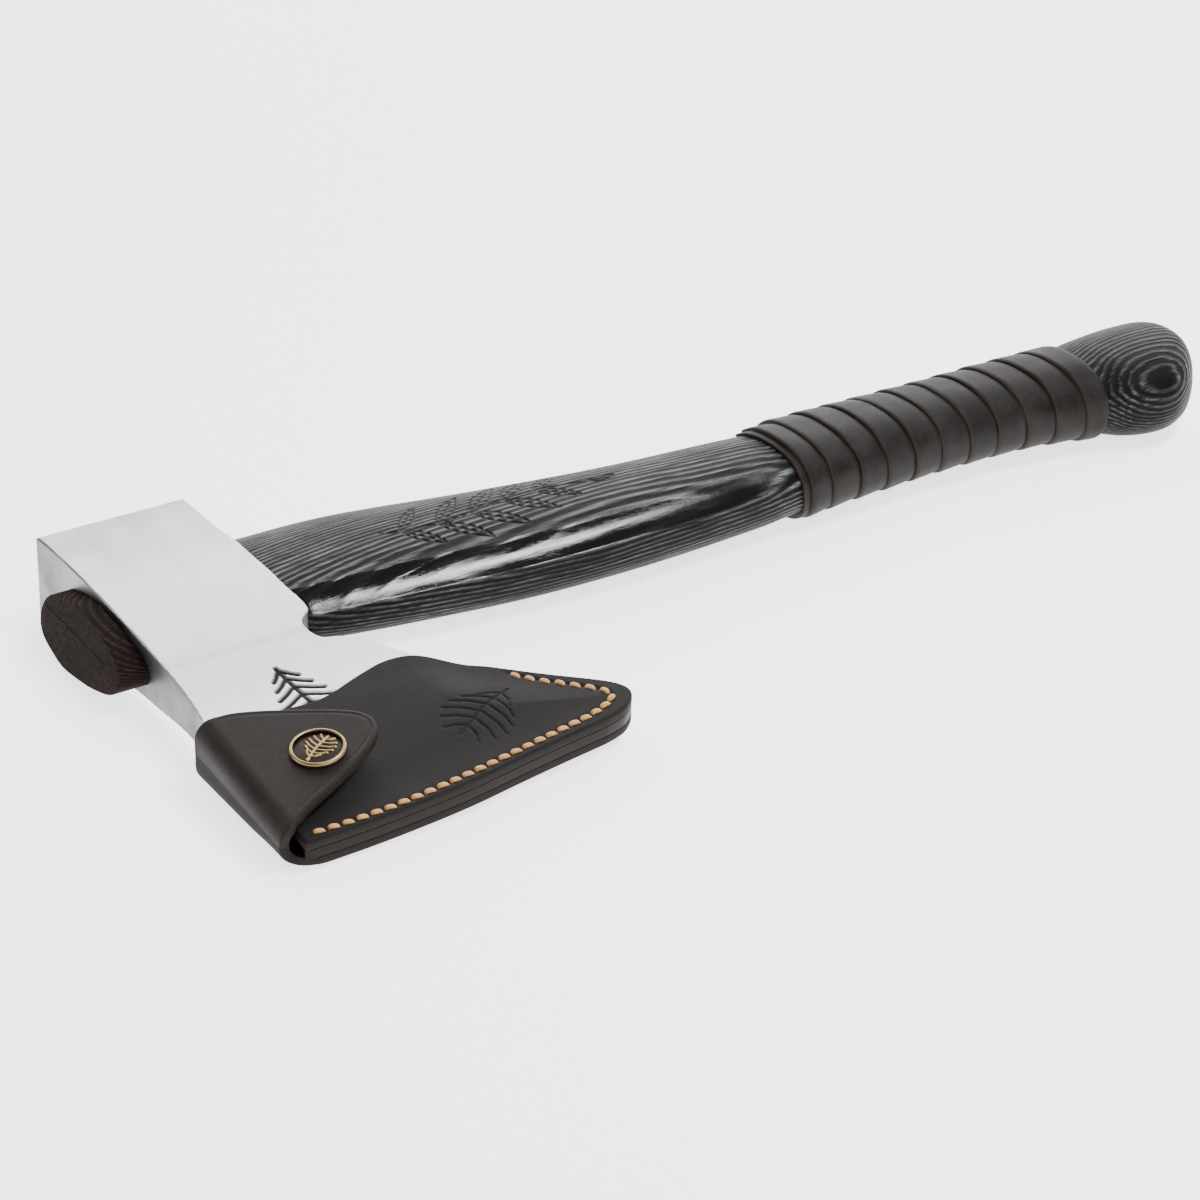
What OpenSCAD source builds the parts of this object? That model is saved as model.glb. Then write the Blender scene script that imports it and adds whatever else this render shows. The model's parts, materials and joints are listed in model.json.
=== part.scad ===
// Hatchet with a wrapped wooden haft and a leather blade sheath.
// Millimetres. It lies on its side: X runs along the haft towards the knob, -Y points to the
// cutting edge, Z is up. Outlines are drawn with "reach" = distance towards the cutting edge.

/* [Head] */
// Length of the poll along the haft
poll_h = 46.5; // [35:0.5:60]
// Thickness of the head at the poll
poll_t = 26.8; // [20:0.1:34]
// Distance from the poll to the cutting edge at the toe
blade_reach = 146; // [110:1:180]
// Distance along the haft from the toe corner to the heel corner
blade_len = 96; // [70:1:120]
// Half angle of the ground bevel
bevel_angle = 14.5; // [8:0.5:20]

/* [Haft] */
// Distance from the head's top to the end of the knob
haft_len = 378.4; // [300:0.1:460]
// Where the shoulder of the haft meets the head
shoulder_x = 50; // [40:0.5:60]
// Half width of the tenon in the eye
tenon_half = 9; // [6:0.1:10]
// Where the wedge's thin end stops inside the tenon
wedge_depth = 36; // [20:1:44]
// Thickness of the wedge at its wide end
wedge_t = 3.6; // [2:0.1:6]

/* [Leather grip] */
// Start of the leather strip
wrap_x0 = 214.3; // [180:0.1:240]
// End of the leather strip
wrap_x1 = 335; // [300:0.5:352]
// Distance from one turn to the next
wrap_pitch = 10.85; // [8:0.05:20]
// Height of each turn's raised edge
wrap_high = 2.7; // [1.5:0.1:4]
// Height of each turn where the next one covers it
wrap_low = 1.6; // [1:0.1:3]

/* [Sheath] */
// Thickness of the leather
leather = 2.8; // [2:0.1:4]
// Width of the spacer strip between the two panels
welt_w = 7.5; // [5:0.5:12]
// Slope of each panel against the middle plane
panel_slope = 0.066; // [0.03:0.001:0.1]
// Distance between two stitches
stitch_pitch = 4.1; // [3:0.1:6]
// Radius of the thread
thread_r = 0.45; // [0.3:0.05:0.8]

/* [Strap and snap] */
// Outer radius of the strap's upper fold
fold_r = 6; // [3:0.1:6]
// Outer radius of the strap's lower fold
lower_r = 4; // [3:0.1:5]
// Rise of the closed flap from its fold to its tip, in degrees
flap_rise = 7.5; // [0:0.5:12]
// Diameter of the snap's cap
cap_d = 15; // [10:0.5:18]
// Position of the snap along the haft
snap_x = 17.2; // [12:0.1:24]
// Distance of the snap towards the cutting edge
snap_reach = 130.4; // [118:0.5:136]

/* [Hidden] */
$fn = 64;

// The pose in which it lies still: tilt about X, tilt about Y, then the shift to the frame's origin.
rest_tilt = 3.1137;
rest_pitch = -0.7455;
rest_shift = [-185.4422, 76.0801, 13.3566];

hp = poll_t / 2;
edge_reach = 156;         // outer edge of the stitched sheath
rim = 1.45;               // half thickness of the spacer at that edge
sides = 48;               // points round the haft's section
lift = 0.75;              // air under the closed flap at its fold
fold_gap = 0.2;           // air between the strap's pieces where they fold

module rest() { translate(rest_shift) rotate([rest_tilt, rest_pitch, 0]) children(); }

// ---- curves -----------------------------------------------------------------------------
function cr(a, b, c, d, t) =
    0.5 * (2 * b + (c - a) * t + (2 * a - 5 * b + 4 * c - d) * t * t + (3 * b - a - 3 * c + d) * t * t * t);
function curve(p, n = 4) =
    [for (i = [0 : len(p) - 2], k = [0 : n - 1])
        cr(p[max(i - 1, 0)], p[i], p[i + 1], p[min(i + 2, len(p) - 1)], k / n), p[len(p) - 1]];
function unit(v) = v / norm(v);

// Half thickness of the gap between the two panels, and the panel's outer face.
function gap_z(reach) = rim + (edge_reach - reach) * panel_slope;
function face_z(reach) = gap_z(reach) + leather;
// Outer face of the strap's wall, which follows the toe side of the blade.
function wall_x(reach) = -3.9 - (reach - 104) * 0.045;

// ---- outlines, in [x, reach] --------------------------------------------------------------
toe_side = curve([[1.5, -3.5], [2.5, 5.3], [3.8, 24], [4.5, 50], [4.5, 70.8], [3.7, 87.6], [1.2, 102.4],
                  [0.4, 120], [0.6, blade_reach]], 3);
cut_edge = curve([[0.6, blade_reach], [18, 146.2], [40, 144.4], [66, 140.6], [86, 136.6],
                  [blade_len - 0.5, 133.6]], 3);
beard = curve([[blade_len - 0.5, 133.6], [89.5, 125], [82, 114.5], [74.5, 103], [67.8, 92], [62.5, 83.7],
               [59, 78.2], [54.5, 76.2], [49.7, 74], [48, 70], [48.6, 65.2], [52.6, 61.4], [53.2, 56]], 4);
haft_side = curve([[53.2, 56], [52.9, 50.5], [52.3, 40.1], [51.2, 24.5], [49.1, 10.3],
                   [1.5 + poll_h, -3.5]], 3);

throat = curve([[1.5, 101.5], [12, 101.8], [22, 102.6], [30, 103.3], [36.5, 102.1], [48.2, 97.8], [57, 95.5],
                [65, 96.4], [72.1, 99.6], [82.3, 106.8]], 3);
heel_rim = curve([[82.3, 106.8], [93.5, 117.5], [105.5, 128], [109.6, 133.5], [109.2, 138.2], [104, 143.1],
                  [97, 145.5]], 4);
edge_rim = curve([[97, 145.5], [80, 148], [66, 150.3], [52.3, 152.7], [39.3, 154.3], [20, 155.8],
                  [3, 156.2], [-0.8, 155.6]], 3);
panel_outline = concat(throat, heel_rim, edge_rim);

// The flap's free side, from the throat end of its fold, round the tip, to the other end.
flap_edge = curve([[1.2, 101.8], [6.5, 103.2], [13, 107.1], [21.6, 112.9], [29.9, 119.1], [33.9, 123.4],
                   [35.2, 127], [34, 132], [29.3, 136.1], [22.5, 140.1], [14.4, 144.1], [7.2, 147.1],
                   [1.2, 150.6]], 3);

// The line of stitches, in [x, reach].
seam = curve([[2.5, 153.1], [16, 153.3], [31, 152.4], [48, 150.2], [66.5, 147], [86, 143.4], [94.5, 141.6],
              [101.2, 138.8], [104, 135.6], [101.5, 131], [95, 124.4], [90, 119.4], [85.2, 113.4]], 6);

module flat(points) { mirror([0, 1]) polygon(points); }
// Extrudes a [reach, z] profile along X.
module along_x(points, x0, x1)
    translate([x0, 0, 0]) rotate([90, 0, 90]) linear_extrude(x1 - x0) mirror([1, 0]) polygon(points);
// A panel of leather lying at the panel's slope, its inner face dz above the gap.
module sloped(z0 = 0)
    translate([0, -edge_reach, rim + z0]) rotate([atan(panel_slope), 0, 0]) translate([0, edge_reach, 0])
        children();

// ---- head ----------------------------------------------------------------------------------
cheek = [[-3.5, hp], [1, hp - 0.05], [59, 8.45], [72, 7.1], [87.6, 5.6], [102, 4.7], [blade_reach + 2, 1.75]];
bevel_dir = atan2(blade_reach - 133.6, blade_len - 0.5 - 0.6);

module eye_profile(grow = 0) {
    // Section of the eye seen along the haft: blunt at the poll, narrow towards the edge.
    mirror([1, 0]) hull() {
        translate([17.5, 0]) circle(r = 6.4 + grow, $fn = 32);
        translate([30, 0]) circle(r = tenon_half + grow, $fn = 32);
        translate([44, 0]) circle(r = 7.4 + grow, $fn = 32);
        translate([55.5, 0]) circle(r = 4.6 + grow, $fn = 32);
    }
}

module axe_head() color([0.70, 0.71, 0.72]) difference() {
    intersection() {
        translate([0, 0, -20]) linear_extrude(40) flat(concat(toe_side, cut_edge, beard, haft_side));
        along_x(concat(cheek, [for (i = [len(cheek) - 1 : -1 : 0]) [cheek[i][0], -cheek[i][1]]]), -10, 110);
        translate([0.6, -blade_reach, 0]) rotate([0, 0, bevel_dir])
            along_x([[-230, 0.2 + 231 * tan(bevel_angle)], [0.9, 0.2],
                     [0.9, -0.2], [-230, -0.2 - 231 * tan(bevel_angle)]], -40, 160);
    }
    translate([-5, 0, 0]) rotate([90, 0, 90]) linear_extrude(70) eye_profile();
}

// ---- haft ----------------------------------------------------------------------------------
// Stations: [x, back, front, half thickness], back and front as reach.
stations = curve([
    [shoulder_x, 9.6, 58.4, 9.4], [58, 9.8, 60.4, 10.1], [85, 12, 64.3, 11.4], [125, 21, 68.4, 12.2],
    [165, 28.1, 69, 12.2], [203, 31.6, 67.2, 11.7],
    [wrap_x0 + 3, 32.2, 66, 11], [250, 31.6, 63.8, 10], [290, 33, 62.8, 10], [328, 34, 66.8, 11],
    [345, 33.2, 75, 13.6], [356, 32.6, 77, 14.4]], 3);
knob = curve([[356, 32.6, 77, 14.4], [364, 32.9, 74.5, 14.3], [370, 34, 70, 13.6], [haft_len - 4, 37, 65.3, 12.2],
              [haft_len - 1.6, 41, 61.6, 10.2], [haft_len - 0.4, 45, 58.5, 7.8], [haft_len, 48.5, 56, 5]], 3);
haft_run = concat([for (i = [0 : len(stations) - 2]) stations[i]], knob);

function sgn_pow(v, e) = sign(v) * pow(abs(v), e);
// A point on the haft's section at station s, angle a, stood off by d.
function haft_point(s, a, d = 0) =
    [s[0], -((s[1] + s[2]) / 2 + ((s[2] - s[1]) / 2 + d) * sgn_pow(cos(a), 0.86)), (s[3] + d) * sgn_pow(sin(a), 0.86)];
function run_at(x) = [for (k = [0 : 3]) lookup(x, [for (s = haft_run) [s[0], s[k]]])];

module haft() color([0.16, 0.16, 0.17]) {
    n = len(haft_run);
    polyhedron(
        points = [for (s = haft_run, i = [0 : sides - 1]) haft_point(s, i * 360 / sides)],
        faces = concat(
            [[for (i = [0 : sides - 1]) sides - 1 - i]],
            [[for (i = [0 : sides - 1]) (n - 1) * sides + i]],
            [for (j = [0 : n - 2], i = [0 : sides - 1], h = [0, 1])
                let (a = j * sides + i, b = j * sides + (i + 1) % sides)
                h == 0 ? [a, b, b + sides] : [a, b + sides, a + sides]]));
    difference() {
        intersection() {
            translate([-9, 0, 0]) rotate([90, 0, 90]) linear_extrude(shoulder_x + 9.5) eye_profile();
            // Oblique saw cut across the tenon's end.
            translate([-4.8, -80, 0]) rotate([0, 18, 0]) translate([0, 0, -30]) cube([80, 100, 60]);
        }
        wedge_body();
    }
}

module wedge_body() {
    // Tapered across its thickness, thin end towards the haft.
    intersection() {
        rotate([90, 0, 0]) translate([0, 0, 13.5]) linear_extrude(36)
            polygon([[-9, wedge_t / 2], [wedge_depth, 0.4], [wedge_depth, -0.4], [-9, -wedge_t / 2]]);
        translate([-4.8, -80, 0]) rotate([0, 18, 0]) translate([0, 0, -30]) cube([80, 100, 60]);
    }
}
module kerf_wedge() color([0.25, 0.17, 0.14]) wedge_body();

// ---- leather grip --------------------------------------------------------------------------
// One strip wound in a spiral. Its leading edge stands proud and its other edge is lower, as if
// covered by the next turn. Both ends are cut square to the haft.
lead_in = 0.55;
turns = (wrap_x1 - wrap_x0) / wrap_pitch;
steps = floor((turns + lead_in - 0.15) * sides);
function strip_left(t) = max(wrap_x0, wrap_x0 - lead_in * wrap_pitch + wrap_pitch * t);
function strip_right(t) = min(wrap_x1, wrap_x0 - lead_in * wrap_pitch + wrap_pitch * (t + 1) - 0.15);
function strip_ring(t) =
    let (a = -360 * t, l = strip_left(t), r = strip_right(t),
         hi = wrap_high, lo = wrap_high - (wrap_high - wrap_low) * (r - l) / wrap_pitch)
    [haft_point(run_at(l), a, 0.12), haft_point(run_at(r), a, 0.12),
     haft_point(run_at(r), a, lo), haft_point(run_at(l), a, hi)];

module grip_wrap() color([0.17, 0.13, 0.12]) {
    t0 = 0.62;
    rings = [for (i = [0 : steps - floor(t0 * sides)]) strip_ring(t0 + i / sides)];
    m = len(rings);
    polyhedron(
        points = [for (r = rings, p = r) p],
        faces = concat(
            [[0, 1, 2, 3]], [[4 * m - 1, 4 * m - 2, 4 * m - 3, 4 * m - 4]],
            [for (j = [0 : m - 2], i = [0 : 3], h = [0, 1])
                let (a = j * 4 + i, b = j * 4 + (i + 1) % 4)
                h == 0 ? [a, b + 4, b] : [a, a + 4, b + 4]]));
}

// ---- sheath --------------------------------------------------------------------------------
module panel(outline) sloped() linear_extrude(leather) flat(outline);

module sheath_front() color([0.15, 0.13, 0.12]) difference() {
    panel(panel_outline);
    at_snap_panel() {
        translate([0, 0, -leather - 1]) cylinder(r = 2, h = leather + 2);
        translate([0, 0, -leather - 1]) cylinder(r = 5.1, h = 1.6);
    }
}

back_outline = concat([for (p = throat) if (p[0] > 8) p], heel_rim,
    [for (p = edge_rim) if (p[0] > 4) p],
    [[wall_x(152) + lower_r + fold_gap, 152], [wall_x(100) + lower_r + fold_gap, 100.4]]);
module sheath_back() color([0.15, 0.13, 0.12]) mirror([0, 0, 1]) panel(back_outline);

module sheath_welt() color([0.20, 0.14, 0.11]) intersection() {
    translate([0, 0, -10]) linear_extrude(20) flat(welt_outline);
    along_x([[90, gap_z(90)], [160, gap_z(160)], [160, -gap_z(160)], [90, -gap_z(90)]], -10, 120);
}
// The spacer lies between the rim and a line that keeps clear of the blade.
welt_inner = curve([[1.5, edge_reach - welt_w], [19.6, edge_reach - welt_w - 0.1], [38.6, 146.8], [64.7, 143],
                    [79, 140.6], [92, 138.2], [98.4, 136.3], [99.6, 134.2], [97.6, 130.4], [92, 124.6],
                    [84.6, 115.2]], 3);
welt_outline = concat([for (p = heel_rim) if (p[1] > 107) p], [for (i = [1 : len(edge_rim) - 1]) edge_rim[i]],
                      welt_inner);

// Stitches: bars of thread lying half sunk in both faces, one after another along the seam.
seam_len = [for (i = 0, s = 0; i < len(seam); i = i + 1, s = s + (i < len(seam) ? norm(seam[i] - seam[i - 1]) : 0)) s];
function seam_at(s) = [lookup(s, [for (i = [0 : len(seam) - 1]) [seam_len[i], seam[i][0]]]),
                       lookup(s, [for (i = [0 : len(seam) - 1]) [seam_len[i], seam[i][1]]])];
stitches = floor(seam_len[len(seam) - 1] / stitch_pitch);

module stitch(p, q) {
    d = q - p;
    translate([p[0], -p[1], face_z(p[1]) - 0.1]) rotate([0, 0, -atan2(d[1], d[0])])
        rotate([0, 90 + atan(panel_slope * d[1] / norm(d)), 0]) cylinder(r = thread_r, h = norm(d) * 0.84, $fn = 16);
}
module sheath_thread() color([0.85, 0.62, 0.36])
    for (side = [0, 1]) mirror([0, 0, side])
        for (i = [0 : stitches - 1]) stitch(seam_at(i * stitch_pitch), seam_at((i + 1) * stitch_pitch));

// ---- strap ---------------------------------------------------------------------------------
// Section of the strap's wall at a given reach: outer line up, inner line down.
function arc(cx, cz, r, a0, a1, n = 6) = [for (i = [0 : n]) let (a = a0 + (a1 - a0) * i / n) [cx + r * cos(a), cz + r * sin(a)]];
function wall_section(reach) =
    let (x = wall_x(reach), zl = -face_z(reach) + 0.3, zu = face_z(reach) + leather + lift, ri = fold_r - leather, rl = lower_r - leather + 0.5)
    concat(arc(x + lower_r, zl + lower_r, lower_r, -90, -180), arc(x + fold_r, zu - fold_r, fold_r, 180, 90),
           arc(x + fold_r, zu - fold_r, ri, 90, 180), arc(x + lower_r, zl + lower_r, rl, 180, 270));
module strap_wall() color([0.16, 0.13, 0.12]) {
    a = wall_section(100.6);
    b = wall_section(151.8);
    n = len(a);
    polyhedron(
        points = concat([for (p = a) [p[0], -100.6, p[1]]], [for (p = b) [p[0], -151.8, p[1]]]),
        faces = concat([[for (i = [0 : n - 1]) n - 1 - i]], [[for (i = [0 : n - 1]) n + i]],
            [for (i = [0 : n - 1]) [i, (i + 1) % n, n + (i + 1) % n, n + i]]));
}

// The flap's frame: origin on the outer face where the upper fold ends, at the snap's reach.
module flap_plane()
    translate([wall_x(snap_reach) + fold_r, -snap_reach, face_z(snap_reach) + leather + lift])
        rotate([atan(panel_slope), 0, 0]) rotate([0, -flap_rise, 0]) children();
module strap_flap() color([0.17, 0.14, 0.13]) difference() {
    flap_plane() translate([0, 0, -leather]) linear_extrude(leather)
        translate([-wall_x(snap_reach) - fold_r, snap_reach])
            flat(concat([[wall_x(101) + fold_r + fold_gap, 101.2]], [for (p = flap_edge) if (p[0] > 3) p],
                        [[wall_x(151.8) + fold_r + fold_gap, 151.8]]));
    at_snap_flap() translate([0, 0, -leather - 1]) cylinder(r = 2, h = leather + 2);
}

// ---- snap ----------------------------------------------------------------------------------
module at_snap_flap() flap_plane() translate([snap_x - wall_x(snap_reach) - fold_r, 0, 0]) children();
module at_snap_panel()
    translate([snap_x + 0.2, -snap_reach, face_z(snap_reach)]) rotate([atan(panel_slope), 0, 0]) children();

module snap_cap() color([0.60, 0.47, 0.26]) at_snap_flap() rotate_extrude()
    polygon([[0, -leather - 0.5], [1.7, -leather - 0.5], [1.7, 0.05], [cap_d / 2 - 0.6, 0.05], [cap_d / 2, 0.5],
             [cap_d / 2 - 0.05, 1.1], [cap_d / 2 - 0.5, 1.5], [cap_d / 2 - 1, 1.6], [cap_d / 2 - 1.4, 1.35],
             [cap_d / 2 - 1.6, 0.75], [2, 0.95], [0, 1]]);
module snap_socket() color([0.55, 0.44, 0.26]) at_snap_flap() translate([0, 0, -leather]) rotate_extrude()
    polygon([[1.8, -0.05], [1.8, -0.4], [3.2, -0.4], [3.9, -0.5], [3.9, -1.5], [4.9, -1.5], [5.3, -1.2],
             [5.6, -0.4], [5.6, -0.05]]);
module snap_spring() color([0.75, 0.74, 0.70]) at_snap_flap() translate([0, 0, -leather - 1])
    rotate([0, 0, 20]) rotate_extrude(angle = 320) translate([3.5, 0]) circle(r = 0.3, $fn = 16);
module snap_stud() color([0.55, 0.44, 0.26]) at_snap_panel() rotate_extrude()
    polygon([[1.8, 0.05], [4.4, 0.05], [4.4, 0.3], [4, 0.45], [2.6, 0.5], [2.4, 0.8], [2.75, 1.2], [2.75, 1.7],
             [2.4, 2], [1.8, 2.05]]);
module snap_eyelet() color([0.55, 0.44, 0.26]) at_snap_panel() rotate_extrude()
    polygon([[1.2, -leather + 0.1], [4.9, -leather + 0.1], [4.9, -leather + 0.5], [1.75, -leather + 0.55],
             [1.75, 1.5], [1.2, 1.5]]);

// ---- assembly ------------------------------------------------------------------------------
rest() {
    axe_head();
    haft();
    kerf_wedge();
    grip_wrap();
    sheath_front();
    sheath_back();
    sheath_welt();
    sheath_thread();
    strap_wall();
    strap_flap();
    snap_cap();
    snap_socket();
    snap_spring();
    snap_stud();
    snap_eyelet();
}
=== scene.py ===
# %% [markdown]
# # A small hatchet lying on its side
# The hatchet has a ground steel head, a black brushed haft with a spiral leather grip, and a
# leather sheath closed by a snap strap. Its CAD model gives the frame: bodies, joints and sizes.
# Each piece below is built as a mesh by code, in millimetres, in the hatchet's own coordinates:
# x along the haft, "reach" towards the cutting edge, z up from the middle plane. The mesh is then
# laid down in the CAD's frame, which tilts it a little so that it rests on the ground.

# %% Load the frame and set up helpers
import json
import math

import bpy
import numpy as np
from mathutils import Matrix, Vector


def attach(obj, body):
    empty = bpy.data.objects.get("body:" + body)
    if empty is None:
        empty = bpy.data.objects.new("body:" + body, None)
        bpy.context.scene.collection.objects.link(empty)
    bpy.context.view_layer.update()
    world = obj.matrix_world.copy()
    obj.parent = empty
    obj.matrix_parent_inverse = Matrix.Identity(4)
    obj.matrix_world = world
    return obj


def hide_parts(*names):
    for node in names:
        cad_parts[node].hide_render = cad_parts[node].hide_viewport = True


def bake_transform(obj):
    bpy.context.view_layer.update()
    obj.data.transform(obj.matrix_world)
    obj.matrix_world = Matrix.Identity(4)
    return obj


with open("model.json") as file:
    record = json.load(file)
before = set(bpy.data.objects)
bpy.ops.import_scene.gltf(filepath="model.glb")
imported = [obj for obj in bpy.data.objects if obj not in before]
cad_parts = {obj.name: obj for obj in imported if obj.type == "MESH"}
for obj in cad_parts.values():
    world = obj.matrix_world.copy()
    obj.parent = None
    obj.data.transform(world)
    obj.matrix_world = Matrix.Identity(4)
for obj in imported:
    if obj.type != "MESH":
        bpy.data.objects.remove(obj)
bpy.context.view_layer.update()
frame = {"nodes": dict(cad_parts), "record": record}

# The hatchet is turned by these degrees about the haft and across it, and moved by SHIFT, so that
# it rests on the ground. Lengths are in millimetres.
TILT, PITCH, SHIFT = 3.1137, -0.7455, (-185.4422, 76.0801, 13.3566)
POLL_REACH = -3.5           # reach of the poll's flat face
LEATHER = 2.8               # thickness of the sheath's leather
FOLD_R, LOW_R = 6.0, 5.5    # outer radii of the strap's upper and lower fold
LIFT = 0.75                 # gap between the front panel and the flap
FLAP_RISE = 7.5             # degrees by which the flap rises from the panel


def rest_matrix():
    a, b = math.radians(TILT), math.radians(PITCH)
    rx = np.array([[1, 0, 0], [0, math.cos(a), -math.sin(a)], [0, math.sin(a), math.cos(a)]])
    ry = np.array([[math.cos(b), 0, math.sin(b)], [0, 1, 0], [-math.sin(b), 0, math.cos(b)]])
    return ry @ rx


TURN = rest_matrix()


def to_row(mm):
    """Points [x, reach, z] in millimetres, as points of the CAD's frame in metres."""
    p = np.asarray(mm, float) * [1, -1, 1]
    return (p @ TURN.T + SHIFT) / 1000


mount = frame["record"]["mounts"][0]
off = np.linalg.norm(to_row([1.5 + 46.5 / 2, POLL_REACH, 0]) - mount["pos_m"])
print("the poll's centre is", round(off * 1000, 3), "mm from the record's mount")

# %% [markdown]
# ## Curves, grids and meshes
# Outlines are smooth curves through a few points. A surface is a grid of points joined by
# four-sided faces. Each mesh also stores its own millimetre coordinates, so that wood grain and
# leather texture stay fixed to the piece when a joint moves.

# %% Curve, grid and mesh helpers
def curve(points, n=8):
    p = np.asarray(points, float)
    out = []
    for i in range(len(p) - 1):
        a, b, c, d = p[max(i - 1, 0)], p[i], p[i + 1], p[min(i + 2, len(p) - 1)]
        for k in range(n):
            t = k / n
            out.append(0.5 * (2 * b + (c - a) * t + (2 * a - 5 * b + 4 * c - d) * t * t
                              + (3 * b - a - 3 * c + d) * t ** 3))
    out.append(p[-1])
    return np.array(out)


def resample(line, n):
    """n points at even distances along a line of 2-D points."""
    s = np.concatenate([[0], np.cumsum(np.linalg.norm(np.diff(line, axis=0), axis=1))])
    t = np.linspace(0, s[-1], n)
    return np.stack([np.interp(t, s, line[:, 0]), np.interp(t, s, line[:, 1])], 1)


def smoothstep(t):
    t = np.clip(t, 0, 1)
    return t * t * (3 - 2 * t)


def near_line(points, line):
    """Distance from each 2-D point to a line of points."""
    p = np.asarray(points, float)
    best = np.full(len(p), 1e9)
    for a, b in zip(line[:-1], line[1:]):
        d = b - a
        t = np.clip(((p - a) @ d) / max(d @ d, 1e-12), 0, 1)
        best = np.minimum(best, np.linalg.norm(p - a - t[:, None] * d, axis=1))
    return best


def grid_faces(nu, nv, close_v=False, start=0, flip=False):
    """Faces of a grid of nu rows with nv points each; close_v joins each row into a ring."""
    i, j = np.meshgrid(np.arange(nu - 1), np.arange(nv if close_v else nv - 1), indexing="ij")
    i, j = i.ravel(), j.ravel()
    a, b = i * nv + j, (i + 1) * nv + j
    c, d = (i + 1) * nv + (j + 1) % nv, i * nv + (j + 1) % nv
    f = np.stack([a, b, c, d], 1) + start
    return f[:, ::-1] if flip else f


def end_caps(rows, n):
    """One many-sided face at each end of a row of rings with n points each."""
    return [list(range(n))[::-1], [(rows - 1) * n + i for i in range(n)]]


def make(name, mm, faces, material, body=None, smooth=35, marks=None, extra=()):
    """A mesh object from millimetre points, riding on a CAD body."""
    mm = np.asarray(mm, float)
    mesh = bpy.data.meshes.new(name)
    all_faces = [list(map(int, f)) for f in faces] + [list(f) for f in extra]
    mesh.from_pydata(to_row(mm).tolist(), [], all_faces)
    mesh.validate()
    mesh.shade_smooth()
    mesh.set_sharp_from_angle(angle=math.radians(smooth))
    at = mesh.attributes.new("mm", "FLOAT_VECTOR", "POINT")
    at.data.foreach_set("vector", mm.astype(np.float32).ravel())
    for key, values in (marks or {}).items():
        at = mesh.attributes.new(key, "FLOAT", "POINT")
        at.data.foreach_set("value", np.asarray(values, np.float32).ravel())
    obj = bpy.data.objects.new(name, mesh)
    bpy.context.scene.collection.objects.link(obj)
    obj.data.materials.append(material)
    if body:
        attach(obj, body)
    print(name, len(mm), "points")
    return obj


# %% [markdown]
# ## Materials
# All textures are made from the stored millimetre coordinates with noise and waves. Steel is a
# satin grey metal, the haft is black stained ash whose soft rings were brushed out before it was
# varnished, the leather is dark and waxed, and the snap is brass with a dark patina.

# %% Material helpers
def new_material(name, color, rough, metal=0.0):
    m = bpy.data.materials.new(name)
    m.use_nodes = True
    s = m.node_tree.nodes["Principled BSDF"]
    s.inputs["Base Color"].default_value = (*color, 1)
    s.inputs["Roughness"].default_value = rough
    s.inputs["Metallic"].default_value = metal
    return m, m.node_tree, s


def node(tree, kind, **inputs):
    n = tree.nodes.new("ShaderNode" + kind)
    for key, value in inputs.items():
        if key.startswith("_"):
            setattr(n, key[1:], value)
            continue
        numbered = key[0] == "i" and key[1:].isdigit()
        socket = n.inputs[int(key[1:])] if numbered else n.inputs[key.replace("_", " ")]
        if isinstance(value, bpy.types.NodeSocket):
            tree.links.new(value, socket)
        else:
            socket.default_value = value
    return n


def calc(tree, op, a, b=0.0, c=0.0):
    n = node(tree, "Math", _operation=op, i0=a)
    for i, v in ((1, b), (2, c)):
        if isinstance(v, bpy.types.NodeSocket):
            tree.links.new(v, n.inputs[i])
        else:
            n.inputs[i].default_value = v
    return n.outputs[0]


def coords(tree, scale=(1, 1, 1)):
    a = node(tree, "Attribute", _attribute_name="mm")
    return node(tree, "VectorMath", _operation="MULTIPLY", i0=a.outputs["Vector"], i1=scale).outputs[0]


def mask(tree, name):
    return node(tree, "Attribute", _attribute_name=name).outputs["Fac"]


def noise(tree, scale, vector, detail=3.0, rough=0.5):
    return node(tree, "TexNoise", Vector=vector, Scale=scale, Detail=detail, Roughness=rough).outputs["Fac"]


def ramp(tree, fac, stops):
    r = node(tree, "ValToRGB", Fac=fac)
    e = r.color_ramp.elements
    while len(e) < len(stops):
        e.new(0.5)
    for k, (at, col) in zip(e, stops):
        k.position, k.color = at, (*col, 1)
    return r.outputs["Color"]


def mix(tree, fac, a, b, kind="MIX"):
    n = node(tree, "Mix", _data_type="RGBA", _blend_type=kind)
    for socket, v in ((n.inputs[0], fac), (n.inputs[6], a), (n.inputs[7], b)):
        if isinstance(v, bpy.types.NodeSocket):
            tree.links.new(v, socket)
        else:
            socket.default_value = v if isinstance(v, float) else (*v, 1)
    return n.outputs[2]


def bump(tree, shader, height, distance, strength=1.0):
    """Bump of the given height in millimetres."""
    n = node(tree, "Bump", Height=height, Distance=distance / 1000, Strength=strength)
    tree.links.new(n.outputs["Normal"], shader.inputs["Normal"])


def use(tree, shader, key, value):
    tree.links.new(value, shader.inputs[key])
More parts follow.
